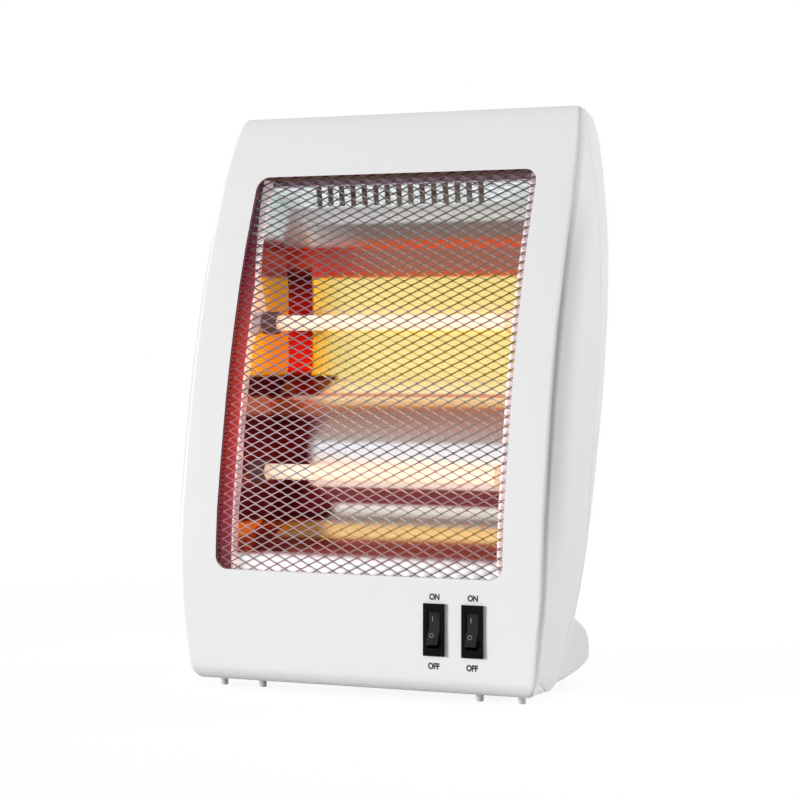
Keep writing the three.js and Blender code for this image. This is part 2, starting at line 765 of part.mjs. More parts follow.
function endPlate(side) {
  const levels = heights(plateLow, plateHigh, 20);
  const fronts = levels.map((z) => [frontDepth(z) + plateSetback, z]);
  const rears = levels.map((z) => {
    const back = shieldFront(Math.min(Math.max(z, shieldLow), shieldHigh));
    return [Math.min(back + shieldSheet + plateMargin, rearDepth(z, wall) - 8), z];
  });
  const left = side < 0 ? -plateInside - plateSheet : plateInside;
  const plate = prism([...rears, ...fronts.slice().reverse()], left, left + plateSheet);
  const lip = fronts.map(([d, z]) => [d + plateSheet, z]);
  const reach = side < 0 ? [-flangeReach, -plateInside] : [plateInside, flangeReach];
  const flange = prism([...lip, ...fronts.slice().reverse()], reach[0], reach[1]);
  const cuts = tubeAxes.map(([, d, z]) => bar("x", capNeck + gap, -110, 110, 0, d, z, 18));
  for (const z of bossHeights) {
    cuts.push(bar("y", screwRadius + 0.2, 0, bodyDepth, side * bossX, 0, z, 10));
  }
  const word = side < 0 ? "left" : "right";
  add(`end_plate_${word}`, union(plate, flange).subtract(union(...cuts)), polished());
}

function plateScrews() {
  const names = ["lower", "upper"];
  for (const side of [-1, 1]) {
    bossHeights.forEach((z, i) => {
      const seat = flangeBack(z) + 0.15;
      const rows = [
        [0, bossEnd(z) - 4], [screwRadius, bossEnd(z) - 3.4], [screwRadius, seat],
        [screwHeadRadius, seat], [screwHeadRadius * 0.8, seat + screwHeadHeight],
        [0, seat + screwHeadHeight],
      ];
      const screw = along(turned(rows, 12), "y", side * bossX, 0, z);
      add(`plate_screw_${names[i]}_${side < 0 ? "left" : "right"}`, screw, steel());
    });
  }
}

// The flange is sloped: the screw head stands clear of its highest point.
const flangeBack = (z) => frontDepth(z + screwHeadRadius + 0.2) + plateSetback + plateSheet;

function heatShield() {
  const levels = heights(shieldLow, shieldHigh, 18);
  const front = levels.map((z) => [shieldFront(z), z]);
  const rear = levels.map((z) => [shieldFront(z) + shieldSheet, z]);
  const half = plateInside - gap;
  add("heat_shield", prism([...rear, ...front.reverse()], -half, half), steel());
}

// ---- tubes -----------------------------------------------------------------
function tube(name, d, z) {
  const rows = [
    [tubeBore, -tubeEnd], [tubeRadius, -tubeEnd], [tubeRadius, tubeEnd], [tubeBore, tubeEnd],
    [tubeBore, -tubeEnd],
  ];
  const glass = material(0xfff1d6, 0.05, 0, { emissive: 0xffe0a0, emissiveIntensity: 1.5 });
  add(`quartz_tube_${name}`, along(turned(rows, 20), "x", 0, d, z), glass);
  add(`filament_${name}`, bar("x", filamentRadius, -pinEnd, pinEnd, 0, d, z, 8), glow());
  for (const side of [-1, 1]) {
    const word = side < 0 ? "left" : "right";
    add(`end_cap_${name}_${word}`, endCap(side, d, z), ceramic());
    add(`tube_clip_${name}_${word}`, tubeClip(side, d, z), steel());
  }
}

// Ceramic cap: a wide collar inside the plate and a neck that passes through it.
function endCap(side, d, z) {
  const rows = [
    [filamentRadius + 0.2, tubeEnd + gap], [tubeRadius + 0.15, tubeEnd + gap],
    [tubeRadius + 0.15, capInner], [capRadius - 0.8, capInner], [capRadius, capInner + 0.8],
    [capRadius, plateFace], [capNeck, plateFace], [capNeck, capOuter],
    [filamentRadius + 0.2, capOuter], [filamentRadius + 0.2, tubeEnd + gap],
  ];
  const geometry = turned(rows, 18);
  if (side < 0) geometry.rotateZ(Math.PI);
  return along(geometry, "x", 0, d, z);
}

function tubeClip(side, d, z) {
  const near = plateInside + plateSheet + 0.2;
  const half = clipSize / 2;
  const x0 = side < 0 ? -near - clipSheet : near;
  const body = box(x0, x0 + clipSheet, d - half * 0.6, d + half, z - half * 0.8, z + half * 0.8);
  return body.subtract(bar("x", capNeck + 0.2, -110, 110, 0, d, z, 18));
}

// ---- switches --------------------------------------------------------------
function rockerSwitch(number, x) {
  const back = -gap;
  const bezel = box(
    x - bezelWidth / 2, x + bezelWidth / 2, -bezelProud, back,
    switchHeight - bezelTall / 2, switchHeight + bezelTall / 2,
  );
  const body = box(
    x - switchBoxWidth / 2, x + switchBoxWidth / 2, -bezelProud + 0.5, switchBoxDepth,
    switchHeight - switchBoxTall / 2, switchHeight + switchBoxTall / 2,
  );
  const blades = [-bladeShift, 0, bladeShift].map((shift) => {
    const z = switchHeight + shift;
    const end = switchBoxDepth + bladeLength;
    return box(x - 2.4, x + 2.4, switchBoxDepth - 1, end, z - 0.4, z + 0.4);
  });
  const half = rockerWidth / 2 + gap;
  const well = box(
    x - half, x + half, -bezelProud - 1, rockerPivot + 8,
    switchHeight - rockerWellHalf, switchHeight + rockerWellHalf,
  );
  const bore = trunnionRadius + gap;
  const bearing = bar("x", bore, -bezelWidth, bezelWidth, x, rockerPivot, switchHeight, 12);
  const shell = union(bezel, body, ...blades).subtract(union(well, bearing));
  add(`switch_body_${number}`, shell, blackPlastic());
  add(`rocker_${number}`, rocker(x), blackPlastic());
}

// The rocker is drawn level and then turned to its ON rest, top pressed in.
function rocker(x) {
  const lean = Math.tan((rockerTilt * Math.PI) / 180);
  const crest = -bezelProud + 0.8;
  const ends = crest - rockerHalf * lean;
  const outline = [
    [ends, -rockerHalf], [crest, 0], [ends, rockerHalf], [rockerPivot, rockerHalf * 0.86],
    [rockerPivot + 4.6, rockerHalf * 0.5], [rockerPivot + 6, 0],
    [rockerPivot + 4.6, -rockerHalf * 0.5], [rockerPivot, -rockerHalf * 0.86],
  ];
  const angle = (rockerTilt * Math.PI) / 180;
  const turnedOutline = outline.map(([d, z]) => {
    const arm = d - rockerPivot;
    return [
      rockerPivot + arm * Math.cos(angle) + z * Math.sin(angle),
      switchHeight - arm * Math.sin(angle) + z * Math.cos(angle),
    ];
  });
  const half = rockerWidth / 2;
  const reach = half + gap + trunnionReach;
  const trunnion = bar("x", trunnionRadius, -reach, reach, x, rockerPivot, switchHeight, 12);
  return union(prism(turnedOutline.reverse(), x - half, x + half), trunnion);
}

// ---- electrical parts inside ----------------------------------------------
function electrics() {
  const low = blockFloor;
  const base = box(
    blockX - blockWide / 2, blockX + blockWide / 2, blockDepth - blockLong / 2,
    blockDepth + blockLong / 2, low, low + blockTall,
  );
  const mouths = [-1, 0, 1].map((step) => {
    const x = blockX + step * blockStep;
    return bar("y", wireRadius + gap, blockDepth - 20, blockDepth + 20, x, 0, low + blockMouth, 8);
  });
  add("terminal_block", base.subtract(union(...mouths)), material(0xf4f1e6, 0.5, 0));
  const bush = inletAxis([
    [inletBore, -wall - 4], [inletRadius, -wall - 4], [inletRadius, gap], [inletRadius + 2.4, gap],
    [inletRadius + 1.6, 4], [inletBore, 5], [inletBore, -wall - 4],
  ], 18);
  add("cord_inlet_bush", bush, material(0xdedee0, 0.55, 0));
  const start = plateInside + plateSheet + gap;
  const disc = bar("x", 8, start, start + 7, 0, cutoutDepth, cutoutHeight, 18);
  const tabs = box(start, start + 1, cutoutDepth - 12, cutoutDepth + 12, cutoutHeight - 4, cutoutHeight + 4);
  add("thermal_cutout", union(disc, tabs), material(0x8c8f94, 0.4, 0.8));
}

// A round wire through its corner points, each corner eased by a short slanting run.
function wire(name, color, corners) {
  const path = corners.map(([x, d, z]) => new THREE.Vector3(x, d, z));
  const points = path.flatMap((corner, i) => {
    const before = path[i - 1];
    const after = path[i + 1];
    if (!before || !after) return [corner];
    return [before, after].map((other) => {
      const ease = Math.min(wireBend, corner.distanceTo(other) * 0.4);
      return corner.clone().addScaledVector(other.clone().sub(corner).normalize(), ease);
    });
  });
  add(name, swept(points, wireRadius, 6), material(color, 0.55, 0));
}

// The corners of a wire that climbs beside an end plate to the upper tube.
function riser(x) {
  const [[, depth, height]] = tubeAxes;
  return [
    [x, depth + 0.8, switchHeight + 18.4], [x, depth + 14.8, inWindow(0.12)],
    [x, depth + 14.8, height - 18],
  ];
}

function wiring() {
  const mouth = blockFloor + blockMouth;
  const rear = blockDepth + blockLong / 2 - 3;
  const fore = blockDepth - blockLong / 2 + 3;
  const clamps = [-1, 0, 1].map((step) => blockX + step * blockStep);
  const blade = switchBoxDepth + bladeLength + gap;
  const [lowBlade, highBlade] = [switchHeight - bladeShift, switchHeight + bladeShift];
  const [[, upperD, upperZ], [, lowerD, lowerZ]] = tubeAxes;
  const [near, far] = switchXs;
  const pin = capOuter + gap;
  const bend = pin + 3.5;
  const behind = rear + 5.5;
  const below = mouth - 3.2;
  const aside = plateInside + 5.5;
  wire("wire_inlet", 0x6b4a2b, [
    [inletX, rearDepth(inletHeight) - 12, inletHeight + 4.8], [inletX, behind, mouth + 6],
    [clamps[2], behind, mouth], [clamps[2], rear, mouth],
  ]);
  wire("wire_switch_1", 0x8a1f1f, [
    [clamps[1], rear, mouth], [clamps[1], rear + 4.5, mouth], [clamps[1], rear + 4.5, below],
    [near, rear + 4.5, below], [near, rear + 4.5, lowBlade], [near, blade, lowBlade],
  ]);
  wire("wire_switch_2", 0x8a1f1f, [
    [clamps[2], fore, mouth], [clamps[2], fore - 8.5, mouth], [far, fore - 8.5, mouth],
    [far, blade + 4.7, mouth], [far, blade + 4.7, lowBlade], [far, blade, lowBlade],
  ]);
  wire("wire_tube_lower", 0x9c9c9c, [
    [near, blade, highBlade], [near, blade + 10.7, highBlade],
    [aside + 4, lowerD + 8.8, switchHeight + 16.4], [aside + 4, lowerD + 8.8, lowerZ],
    [bend, lowerD + 8.8, lowerZ], [bend, lowerD, lowerZ], [pin, lowerD, lowerZ],
  ]);
  wire("wire_tube_upper", 0x9c9c9c, [
    [far, blade, highBlade], [far, blade + 14.7, highBlade], ...riser(aside),
    [bend, upperD, upperZ], [pin, upperD, upperZ],
  ]);
  wire("wire_neutral_lower", 0x24407a, [
    [clamps[0], rear, mouth], [clamps[0], behind, mouth],
    [-aside - 4, lowerD + 8.8, switchHeight + 16.4], [-aside - 4, lowerD + 8.8, lowerZ],
    [-bend, lowerD + 8.8, lowerZ], [-bend, lowerD, lowerZ], [-pin, lowerD, lowerZ],
  ]);
  wire("wire_neutral_upper", 0x24407a, [
    [clamps[0], fore, mouth], [clamps[0], fore - 8.5, mouth], [-aside, blade + 4.7, mouth + 9.3],
    ...riser(-aside), [-bend, upperD, upperZ], [-pin, upperD, upperZ],
  ]);
}

frontShell();
rearCover();
coverScrews();
foot(-1);
foot(1);
pads();
tipSwitch();
guard();
reflector();
endPlate(-1);
endPlate(1);
plateScrews();
heatShield();
for (const [name, d, z] of tubeAxes) tube(name, d, z);
switchXs.forEach((x, i) => rockerSwitch(i + 1, x));
electrics();
wiring();

// The origin sits under the middle of the whole heater.
const bounds = new THREE.Box3().setFromObject(heater);
for (const part of heater.children) {
  part.geometry.translate(0, -(bounds.min.y + bounds.max.y) / 2, -bounds.min.z);
}

export default heater;
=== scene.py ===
"""A two-tube quartz heater on a white studio floor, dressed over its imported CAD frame."""

import json
import math

import bpy
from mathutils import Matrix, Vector

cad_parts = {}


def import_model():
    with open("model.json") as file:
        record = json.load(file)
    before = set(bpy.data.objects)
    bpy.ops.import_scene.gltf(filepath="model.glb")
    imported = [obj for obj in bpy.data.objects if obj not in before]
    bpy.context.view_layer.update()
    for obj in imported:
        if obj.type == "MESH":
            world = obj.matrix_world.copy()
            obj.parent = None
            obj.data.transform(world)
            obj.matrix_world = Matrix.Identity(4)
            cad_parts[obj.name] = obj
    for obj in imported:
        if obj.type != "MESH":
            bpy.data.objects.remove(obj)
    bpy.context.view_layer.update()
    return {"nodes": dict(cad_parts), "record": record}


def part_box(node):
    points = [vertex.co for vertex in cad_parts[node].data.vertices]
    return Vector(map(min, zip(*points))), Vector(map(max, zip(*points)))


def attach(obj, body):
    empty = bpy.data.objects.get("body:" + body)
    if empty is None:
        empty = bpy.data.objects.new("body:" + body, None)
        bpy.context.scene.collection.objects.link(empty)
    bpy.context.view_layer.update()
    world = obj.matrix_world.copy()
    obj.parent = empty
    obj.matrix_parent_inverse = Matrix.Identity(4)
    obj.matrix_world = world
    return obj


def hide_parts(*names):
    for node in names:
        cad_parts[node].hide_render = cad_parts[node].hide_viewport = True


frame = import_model()
nodes = frame["nodes"]

MM = 0.001

# ---- camera ----------------------------------------------------------------
CAMERA_PLACE = (0.5684, -1.2685, 0.2029)
CAMERA_TILT = math.radians(88.71)
CAMERA_TURN = math.radians(24.0)
CAMERA_LENS = 104.38
CAMERA_SENSOR = 36.0
CAMERA_NEAR = 0.05
CAMERA_FAR = 50

# ---- lamps, world and floor ------------------------------------------------
# Each lamp: name, place, point it faces, side of its square, power.
LAMPS = [
    ("key", (-9.44, -8.48, 1.97), (0, 0, 0.18), 3.84, 1530),
    ("side", (1.7, 0.95, 0.5), (0.118, 0.02, 0.17), 0.8, 20),
    ("top", (0.1, 0.2, 2.6), (0, 0, 0.1), 2.2, 6),
]
WORLD_SOFT = 0.22
WHITE = (1, 1, 1, 1)
FLOOR_SIZE = 12
FLOOR_GREY = 0.88
# Share of the seen floor's white that comes from the lamps, and how brightly they light it.
FLOOR_SHARE = 0.25
FLOOR_LIT = 0.56
SHADOW_NEAR = 0.35
SHADOW_FAR = 0.8

# ---- guard mesh ------------------------------------------------------------
MESH_WIDE = 10.4 * MM
MESH_TALL = 5.35 * MM
STRAND_WIDE = 0.7 * MM
STRAND_THICK = 0.55 * MM
BOND_HALF = 0.75 * MM
MESH_HALF = 93.6 * MM
MESH_LOW = 70.0 * MM
MESH_HIGH = 309.5 * MM
BOW_STEPS = 400
BORDER_STEP = 8 * MM

# ---- filament --------------------------------------------------------------
COIL_RADIUS = 1.5 * MM
COIL_WIRE = 0.28 * MM
COIL_TURNS = 78
COIL_STEPS = 10
COIL_HALF = 72 * MM
COIL_LEAD = 2 * MM

# ---- lettering -------------------------------------------------------------
LETTER_TALL = 3.4 * MM
LETTER_THICK = 0.05 * MM
LETTER_NARROW = 0.86
LETTER_BOLD = 0.25 * MM
LETTER_SPACING = 0.98
CAPITAL_SHARE = 0.72
ON_HEIGHT = 60.9 * MM
OFF_HEIGHT = 21.2 * MM
WORD_SHIFT = -0.7 * MM

# ---- rocker marks ----------------------------------------------------------
MARK_SHIFT = 0.8 * MM
MARK_LIFT = 0.03 * MM
# Where each mark stands, as a share of the rocker's height.
MARK_LEVELS = (("I", 0.79), ("O", 0.28))
BAR_HALF_WIDE = 0.25 * MM
BAR_HALF_TALL = 1.4 * MM
RING_RADII = (0.95 * MM, 1.35 * MM)
RING_SIDES = 24

# ---- smooth shading --------------------------------------------------------
SMOOTH_ANGLE = math.radians(32)
WELD_DISTANCE = 1e-6


# ---- node-tree helpers -----------------------------------------------------
def new_material(name):
    made = bpy.data.materials.new(name)
    made.use_nodes = True
    made.node_tree.nodes.clear()
    return made


def add_node(tree, kind, **values):
    """Adds a node, with each value set on its property or, failing that, on its input."""
    made = tree.nodes.new(kind)
    for key, value in values.items():
        if hasattr(made, key):
            setattr(made, key, value)
        else:
            made.inputs[key.replace("_", " ")].default_value = value
    return made


def feed(tree, socket, source):
    """Links a socket to another node's output, or sets it to a number."""
    if isinstance(source, (int, float)):
        socket.default_value = source
    else:
        tree.links.new(source, socket)


def calculated(tree, operation, first, second=0):
    node = add_node(tree, "ShaderNodeMath", operation=operation)
    feed(tree, node.inputs[0], first)
    feed(tree, node.inputs[1], second)
    return node.outputs[0]


def product(tree, *values):
    total = values[0]
    for value in values[1:]:
        total = calculated(tree, "MULTIPLY", total, value)
    return total


def above(tree, value, limit):
    return calculated(tree, "GREATER_THAN", value, limit)


def below(tree, value, limit):
    return calculated(tree, "LESS_THAN", value, limit)


def beyond(tree, value, start, stop):
    """How far a value has gone from start to stop, from 0 to 1 with soft ends."""
    share = add_node(tree, "ShaderNodeMapRange", interpolation_type="SMOOTHSTEP")
    for name, source in (("Value", value), ("From Min", start), ("From Max", stop)):
        feed(tree, share.inputs[name], source)
    return share.outputs["Result"]


# The colour sockets of a Mix node: its two inputs, and its output.
MIX_INPUTS = (6, 7)
MIX_OUTPUT = 2


def mixed(tree, factor, first, second):
    """Two colours mixed by a factor: each is an output, or a linear colour."""
    mix = add_node(tree, "ShaderNodeMix", data_type="RGBA")
    tree.links.new(factor, mix.inputs["Factor"])
    for index, source in zip(MIX_INPUTS, (first, second)):
        if isinstance(source, tuple):
            mix.inputs[index].default_value = (*source, 1)
        else:
            tree.links.new(source, mix.inputs[index])
    return mix.outputs[MIX_OUTPUT]


def object_axes(tree, output="Object"):
    """The x, y and z of the shaded point, or of its normal, in the object's own axes."""
    place = add_node(tree, "ShaderNodeTexCoord")
    split = add_node(tree, "ShaderNodeSeparateXYZ")
    tree.links.new(place.outputs[output], split.inputs["Vector"])
    return [split.outputs[axis] for axis in "XYZ"]


def ramp_by_height(tree, stops):
    """A ramp up the object: stops are (height in mm, linear colour)."""
    low, high = stops[0][0], stops[-1][0]
    ramp = add_node(tree, "ShaderNodeValToRGB")
    elements = ramp.color_ramp.elements
    while len(elements) < len(stops):
        elements.new(0.5)
    for element, (height, color) in zip(elements, stops):
        element.position = (height - low) / (high - low)
        element.color = (*color, 1)
    share = add_node(tree, "ShaderNodeMapRange", From_Min=low * MM, From_Max=high * MM)
    tree.links.new(object_axes(tree)[2], share.inputs["Value"])
    tree.links.new(share.outputs["Result"], ramp.inputs["Fac"])
    return ramp.outputs["Color"]


def tone(code):
    """A linear colour from a screen colour such as "F2E4B0"."""
    parts = [int(code[i:i + 2], 16) / 255 for i in (0, 2, 4)]
    return tuple(p / 12.92 if p <= 0.04045 else ((p + 0.055) / 1.055) ** 2.4 for p in parts)


def height_colors(tree, stops):
    """A colour set by height: stops are (height in mm, screen colour)."""
    return ramp_by_height(tree, [(height, tone(code)) for height, code in stops])


LENGTH_SPAN = 100


def height_length(tree, stops):
    """A length set by height: stops are (height, length), in mm, up to LENGTH_SPAN either way."""
    shares = [(height, (length / LENGTH_SPAN + 1) / 2) for height, length in stops]
    ramp = ramp_by_height(tree, [(height, (share, share, share)) for height, share in shares])
    span = calculated(tree, "MULTIPLY", ramp, 2 * LENGTH_SPAN * MM)
    return calculated(tree, "SUBTRACT", span, LENGTH_SPAN * MM)


def front_profile(node):
    """The foremost depth of a node at each height where it has points, low to high."""
    front = {}
    for vertex in nodes[node].data.vertices:
        height = round(vertex.co.z, 5)
        front[height] = min(front.get(height, math.inf), vertex.co.y)
    return sorted(front.items())


def read_profile(profile, height):
    """The value of a table of (height, value) at a height."""
    for (low, a), (high, b) in zip(profile, profile[1:]):
        if height <= high:
            return a + (b - a) * (height - low) / (high - low)
    return profile[-1][1]


def front_depths(node, heights):
    """The foremost depths of a node at heights, both in mm."""
    profile = front_profile(node)
    return [(height, read_profile(profile, height * MM) / MM) for height in heights]


# ---- materials -------------------------------------------------------------
def shade(color, factor):
    return tuple(min(1.0, part * factor) for part in color)


# Where the noise starts and ends its two colours, how far it moves the roughness, and its height.
NOISE_ENDS = (0.3, 0.7)
ROUGHNESS_SPREAD = 0.15
BUMP_HEIGHT = 0.2 * MM


def surface(name, color, roughness, metallic=0.0, spread=0.03, grain=220.0, bump=0.04,
            stretch=(1, 1, 1)):
    """A principled material whose colour, roughness and height vary with a fine noise."""
    made = new_material(name)
    tree = made.node_tree
    link = tree.links.new
    place = add_node(tree, "ShaderNodeTexCoord")
    mapping = add_node(tree, "ShaderNodeMapping", Scale=stretch)
    noise = add_node(tree, "ShaderNodeTexNoise", Scale=grain, Detail=3.0, Roughness=0.55)
    colors = add_node(tree, "ShaderNodeValToRGB")
    for element, position, factor in zip(colors.color_ramp.elements, NOISE_ENDS,
                                         (1 - spread, 1 + spread)):
        element.position, element.color = position, (*shade(color, factor), 1)
    rough = add_node(tree, "ShaderNodeMapRange", To_Min=roughness * (1 - ROUGHNESS_SPREAD),
                     To_Max=min(1.0, roughness * (1 + ROUGHNESS_SPREAD)))
    height = add_node(tree, "ShaderNodeBump", Strength=bump, Distance=BUMP_HEIGHT)
    shader = add_node(tree, "ShaderNodeBsdfPrincipled", Metallic=metallic)
    output = add_node(tree, "ShaderNodeOutputMaterial")
    link(place.outputs["Object"], mapping.inputs["Vector"])
    link(mapping.outputs["Vector"], noise.inputs["Vector"])
    link(noise.outputs["Fac"], colors.inputs["Fac"])
    link(noise.outputs["Fac"], rough.inputs["Value"])
    link(noise.outputs["Fac"], height.inputs["Height"])
    link(colors.outputs["Color"], shader.inputs["Base Color"])
    link(rough.outputs["Result"], shader.inputs["Roughness"])
    link(height.outputs["Normal"], shader.inputs["Normal"])
    link(shader.outputs["BSDF"], output.inputs["Surface"])
    return made


def shader_of(material):
    return next(n for n in material.node_tree.nodes if n.type == "BSDF_PRINCIPLED")


def set_shader(material, **values):
    """Sets inputs of a material's shader, named with _ for each space."""
    for key, value in values.items():
        shader_of(material).inputs[key.replace("_", " ")].default_value = value
    return material


def painted_tube_glow(material, color, glow):
    """Gives a metal a painted colour standing in for the tubes' reflected glow and shade, and the
    same colour as a little emission, a painted glow.
    """
    shader = shader_of(material)
    material.node_tree.links.new(color, shader.inputs["Base Color"])
    material.node_tree.links.new(color, shader.inputs["Emission Color"])
    return set_shader(material, Emission_Strength=glow)


# The soft shade behind the front crease: how far back it fades, and between which heights.
CREASE_SHADE = "D0D0D1"
CREASE_FADE = (42 * MM, 4 * MM)
CREASE_FOOT = (60 * MM, 140 * MM)
CREASE_HEAD = (300 * MM, 250 * MM)
CREASE_HEIGHTS = range(65, 315, 10)
GUARD_DEEP = 6
# The shade on the lower lip of the front.
LIP_SHADE = "D2D2D4"
LIP_FADE = (15 * MM, 6 * MM)
# Painted shade and tube glow inside the rear cover, and on the window's left and upper edges.
COVER_PAINTED_SHADE_AND_GLOW = "DCB8A4"
COVER_DEPTH = 40 * MM
COVER_LOW = 200 * MM
WINDOW_EDGE_PAINTED_SHADE_AND_GLOW = "AC7480"
WINDOW_LEFT = (-100 * MM, -80 * MM)
WINDOW_LEFT_LOW = 60 * MM
WINDOW_TOP_LOW = 290 * MM
# How far a face must turn along an axis to count as facing that way.
TURNED_SLIGHTLY = 0.3
TURNED_HALF = 0.5
TURNED_MOSTLY = 0.6
TURNED_FULLY = 0.8


def white_plastic():
    """White with painted shades behind the crease and on the lower lip, and painted shade and
    tube glow inside the cover and on the window's edges.
    """
    made = surface("white_plastic", (0.865, 0.865, 0.868), 0.58, spread=0.008, grain=900,
                   bump=0.02)
    set_shader(made, Specular_IOR_Level=0.15)
    tree = made.node_tree
    base = shader_of(made).inputs["Base Color"]
    x, y, z = object_axes(tree)
    facing_x, facing_y, facing_z = object_axes(tree, "Normal")

    guard_fronts = front_depths("guard", CREASE_HEIGHTS)
    fronts = [(height, depth - GUARD_DEEP) for height, depth in guard_fronts]
    behind_crease = calculated(tree, "SUBTRACT", y, height_length(tree, fronts))
    sideways = above(tree, calculated(tree, "ABSOLUTE", facing_x), TURNED_HALF)
    crease = product(tree, sideways, beyond(tree, z, *CREASE_FOOT), beyond(tree, z, *CREASE_HEAD),
                     beyond(tree, behind_crease, *CREASE_FADE))
    lip = product(tree, below(tree, facing_y, -TURNED_SLIGHTLY), beyond(tree, z, *LIP_FADE))
    # Masks for the painted shade and tube glow on the cover's inner faces and on the window's
    # left wall and top.
    cover_inside = product(tree, below(tree, facing_y, -TURNED_MOSTLY),
                           above(tree, y, COVER_DEPTH), above(tree, z, COVER_LOW))
    window_left = product(tree, above(tree, facing_x, TURNED_FULLY),
                          above(tree, x, WINDOW_LEFT[0]), below(tree, x, WINDOW_LEFT[1]),
                          above(tree, z, WINDOW_LEFT_LOW))
    window_top = product(tree, below(tree, facing_z, -TURNED_MOSTLY),
                         above(tree, z, WINDOW_TOP_LOW))
    window_edge = calculated(tree, "MAXIMUM", window_left, window_top)

    # Mixes in the painted shades, then the painted shade and tube glow inside the cover and on
    # the window's edges.
    color = base.links[0].from_socket
    for part, code in ((crease, CREASE_SHADE), (lip, LIP_SHADE), (cover_inside, COVER_PAINTED_SHADE_AND_GLOW),
                       (window_edge, WINDOW_EDGE_PAINTED_SHADE_AND_GLOW)):
        color = mixed(tree, part, color, tone(code))
    tree.links.new(color, base)
    return made


def black_plastic(name, color, specular):
    made = surface(name, color, 0.36, spread=0.2, grain=700, bump=0.03)
    return set_shader(made, Specular_IOR_Level=specular)


# Painted reflections, shade and tube glow on the polished metal, by height in mm.
MIRROR_MIDDLE = [
    (66, "ECE6E8"), (78.5, "F0ECEE"), (82, "74343A"), (89, "94402F"), (91.5, "E8CC90"),
    (96, "E8CC90"), (100, "C8C0B8"), (107, "E4E0DA"), (109, "74363A"), (117.5, "763A3E"),
    (119, "F0DCD0"), (144, "F6F4F8"), (147, "B8A8A0"), (160, "A88078"), (165, "A87C6C"),
    (167, "C87850"), (169, "F0C890"), (173, "F0D4A4"), (174.5, "DC5A3C"), (176, "ECECF0"),
    (185.5, "F4E29A"), (245, "F4E096"), (246.5, "D85A3A"), (250.5, "A4685A"), (261.5, "A06A60"),
    (264, "DC5C3C"), (267.5, "D0603E"), (270, "94786E"), (277.5, "8E827E"), (279.5, "EEF2F2"),
    (300.3, "DCE4E4"), (302, "6C5460"),
]
MIRROR_ENDS = [
    (66, "E4C8CE"), (69, "ECECEC"), (78.5, "E8ECEC"), (80, "504448"), (82, "8A3A30"),
    (90, "8E3826"), (92, "F08A20"), (96.5, "FFB030"), (98, "B83C18"), (99.5, "5A181E"),
    (118, "58161E"), (160, "58161E"), (163, "A8604C"), (170, "D0603C"), (173, "C8A090"),
    (174.5, "561618"), (185, "4C1218"), (187, "F0BC30"), (245, "F4C434"), (247, "C83826"),
    (258, "A04438"), (264, "A02C24"), (266, "B8AEAE"), (274, "D8DCDC"), (300.5, "D4E0E0"),
    (302, "5A4650"), (306, "4A3A44"),
]
MIRROR_BAND = [
    (66, "C8A0A4"), (69, "E0DCDC"), (78.5, "E0DCDC"), (81, "7A3A34"), (92, "8A3020"),
    (96, "D05020"), (98, "5A1410"), (118, "4A1014"), (140, "7A1C18"), (160, "4A1418"),
    (163, "B05C44"), (171, "C85A38"), (174, "40101A"), (186, "4A1014"), (190, "D02018"),
    (214, "B41814"), (232, "7A1012"), (246, "2C1014"), (250, "4A1418"), (254, "A04438"),
    (264, "A02C24"), (267, "A89C9C"), (276, "D4D8D8"), (300.5, "D4E0E0"), (302, "5A4650"),
    (306, "4A3A44"),
]
# Painted reflections, shade and tube glow on the end plates' inner side and flange, by height in
# mm.
PLATE_SIDE = [
    (66, "806068"), (76, "B8A8AC"), (79, "805048"), (89, "A85438"), (91, "F89030"),
    (97, "F08024"), (99, "5C181E"), (118, "661C24"), (124, "B04828"), (130, "782020"),
    (150, "64161E"), (161, "64181E"), (163, "B87058"), (172, "C07C60"), (174, "54121A"),
    (185, "48101A"), (187, "FFB42C"), (245, "FFBC34"), (247, "A85440"), (261, "A8503E"),
    (264, "7A161A"), (268, "8A3434"), (272, "D4DCDC"), (300, "D4E2E0"), (303, "5A4650"),
    (306, "4A3A44"),
]
PLATE_FLANGE = [
    (66, "A85C5C"), (76, "985058"), (100, "B05058"), (150, "D8504E"), (200, "DC524A"),
    (235, "BC4C50"), (262, "903C4C"), (285, "6C4A5C"), (306, "5C4854"),
]
# A painted highlight strip along the front bend, and the right plate's painted outer colour.
PLATE_PAINTED_HIGHLIGHT = "F4E4E2"
PLATE_RIGHT = "C8B2B4"
# Where the end colours give way to the middle ones: height, place across and spread, in mm.
END_LINES = [
    (66, -100, 4), (91, -100, 4), (92, -50, 22), (97.5, -50, 22), (98.5, -42, 4), (107.5, -42, 4),
    (118, -58, 4), (146, -58, 5), (160, -50, 10), (173, -50, 12), (174.5, -49, 3),
    (185.5, -49, 3), (187, -56, 14), (245.5, -56, 14), (247.5, -30, 26), (265, -42, 26),
    (281, -60, 26), (306, -60, 26),
]
# Where the painted reflection of the end plate starts across the reflector's left end, and how
# softly, in mm.
BAND_EDGE = -67
BAND_BLEND = 1
# Where the flange's painted colour starts, and how far back the painted highlight strip reaches
# beside it.
BEND_LINES = [
    (66, 84.0), (232, 84.0), (246, 86.2), (258, 87.8), (290, 91.0), (306, 91.6),
]
STRIP_DEEP = [
    (66, 5.5), (232, 5.5), (258, 3.0), (266, 0.0), (306, 0.0),
]
STRIP_STEPS = 12
FLANGE_BLEND = 0.5
RIM = (85.6 * MM, 85.9 * MM)
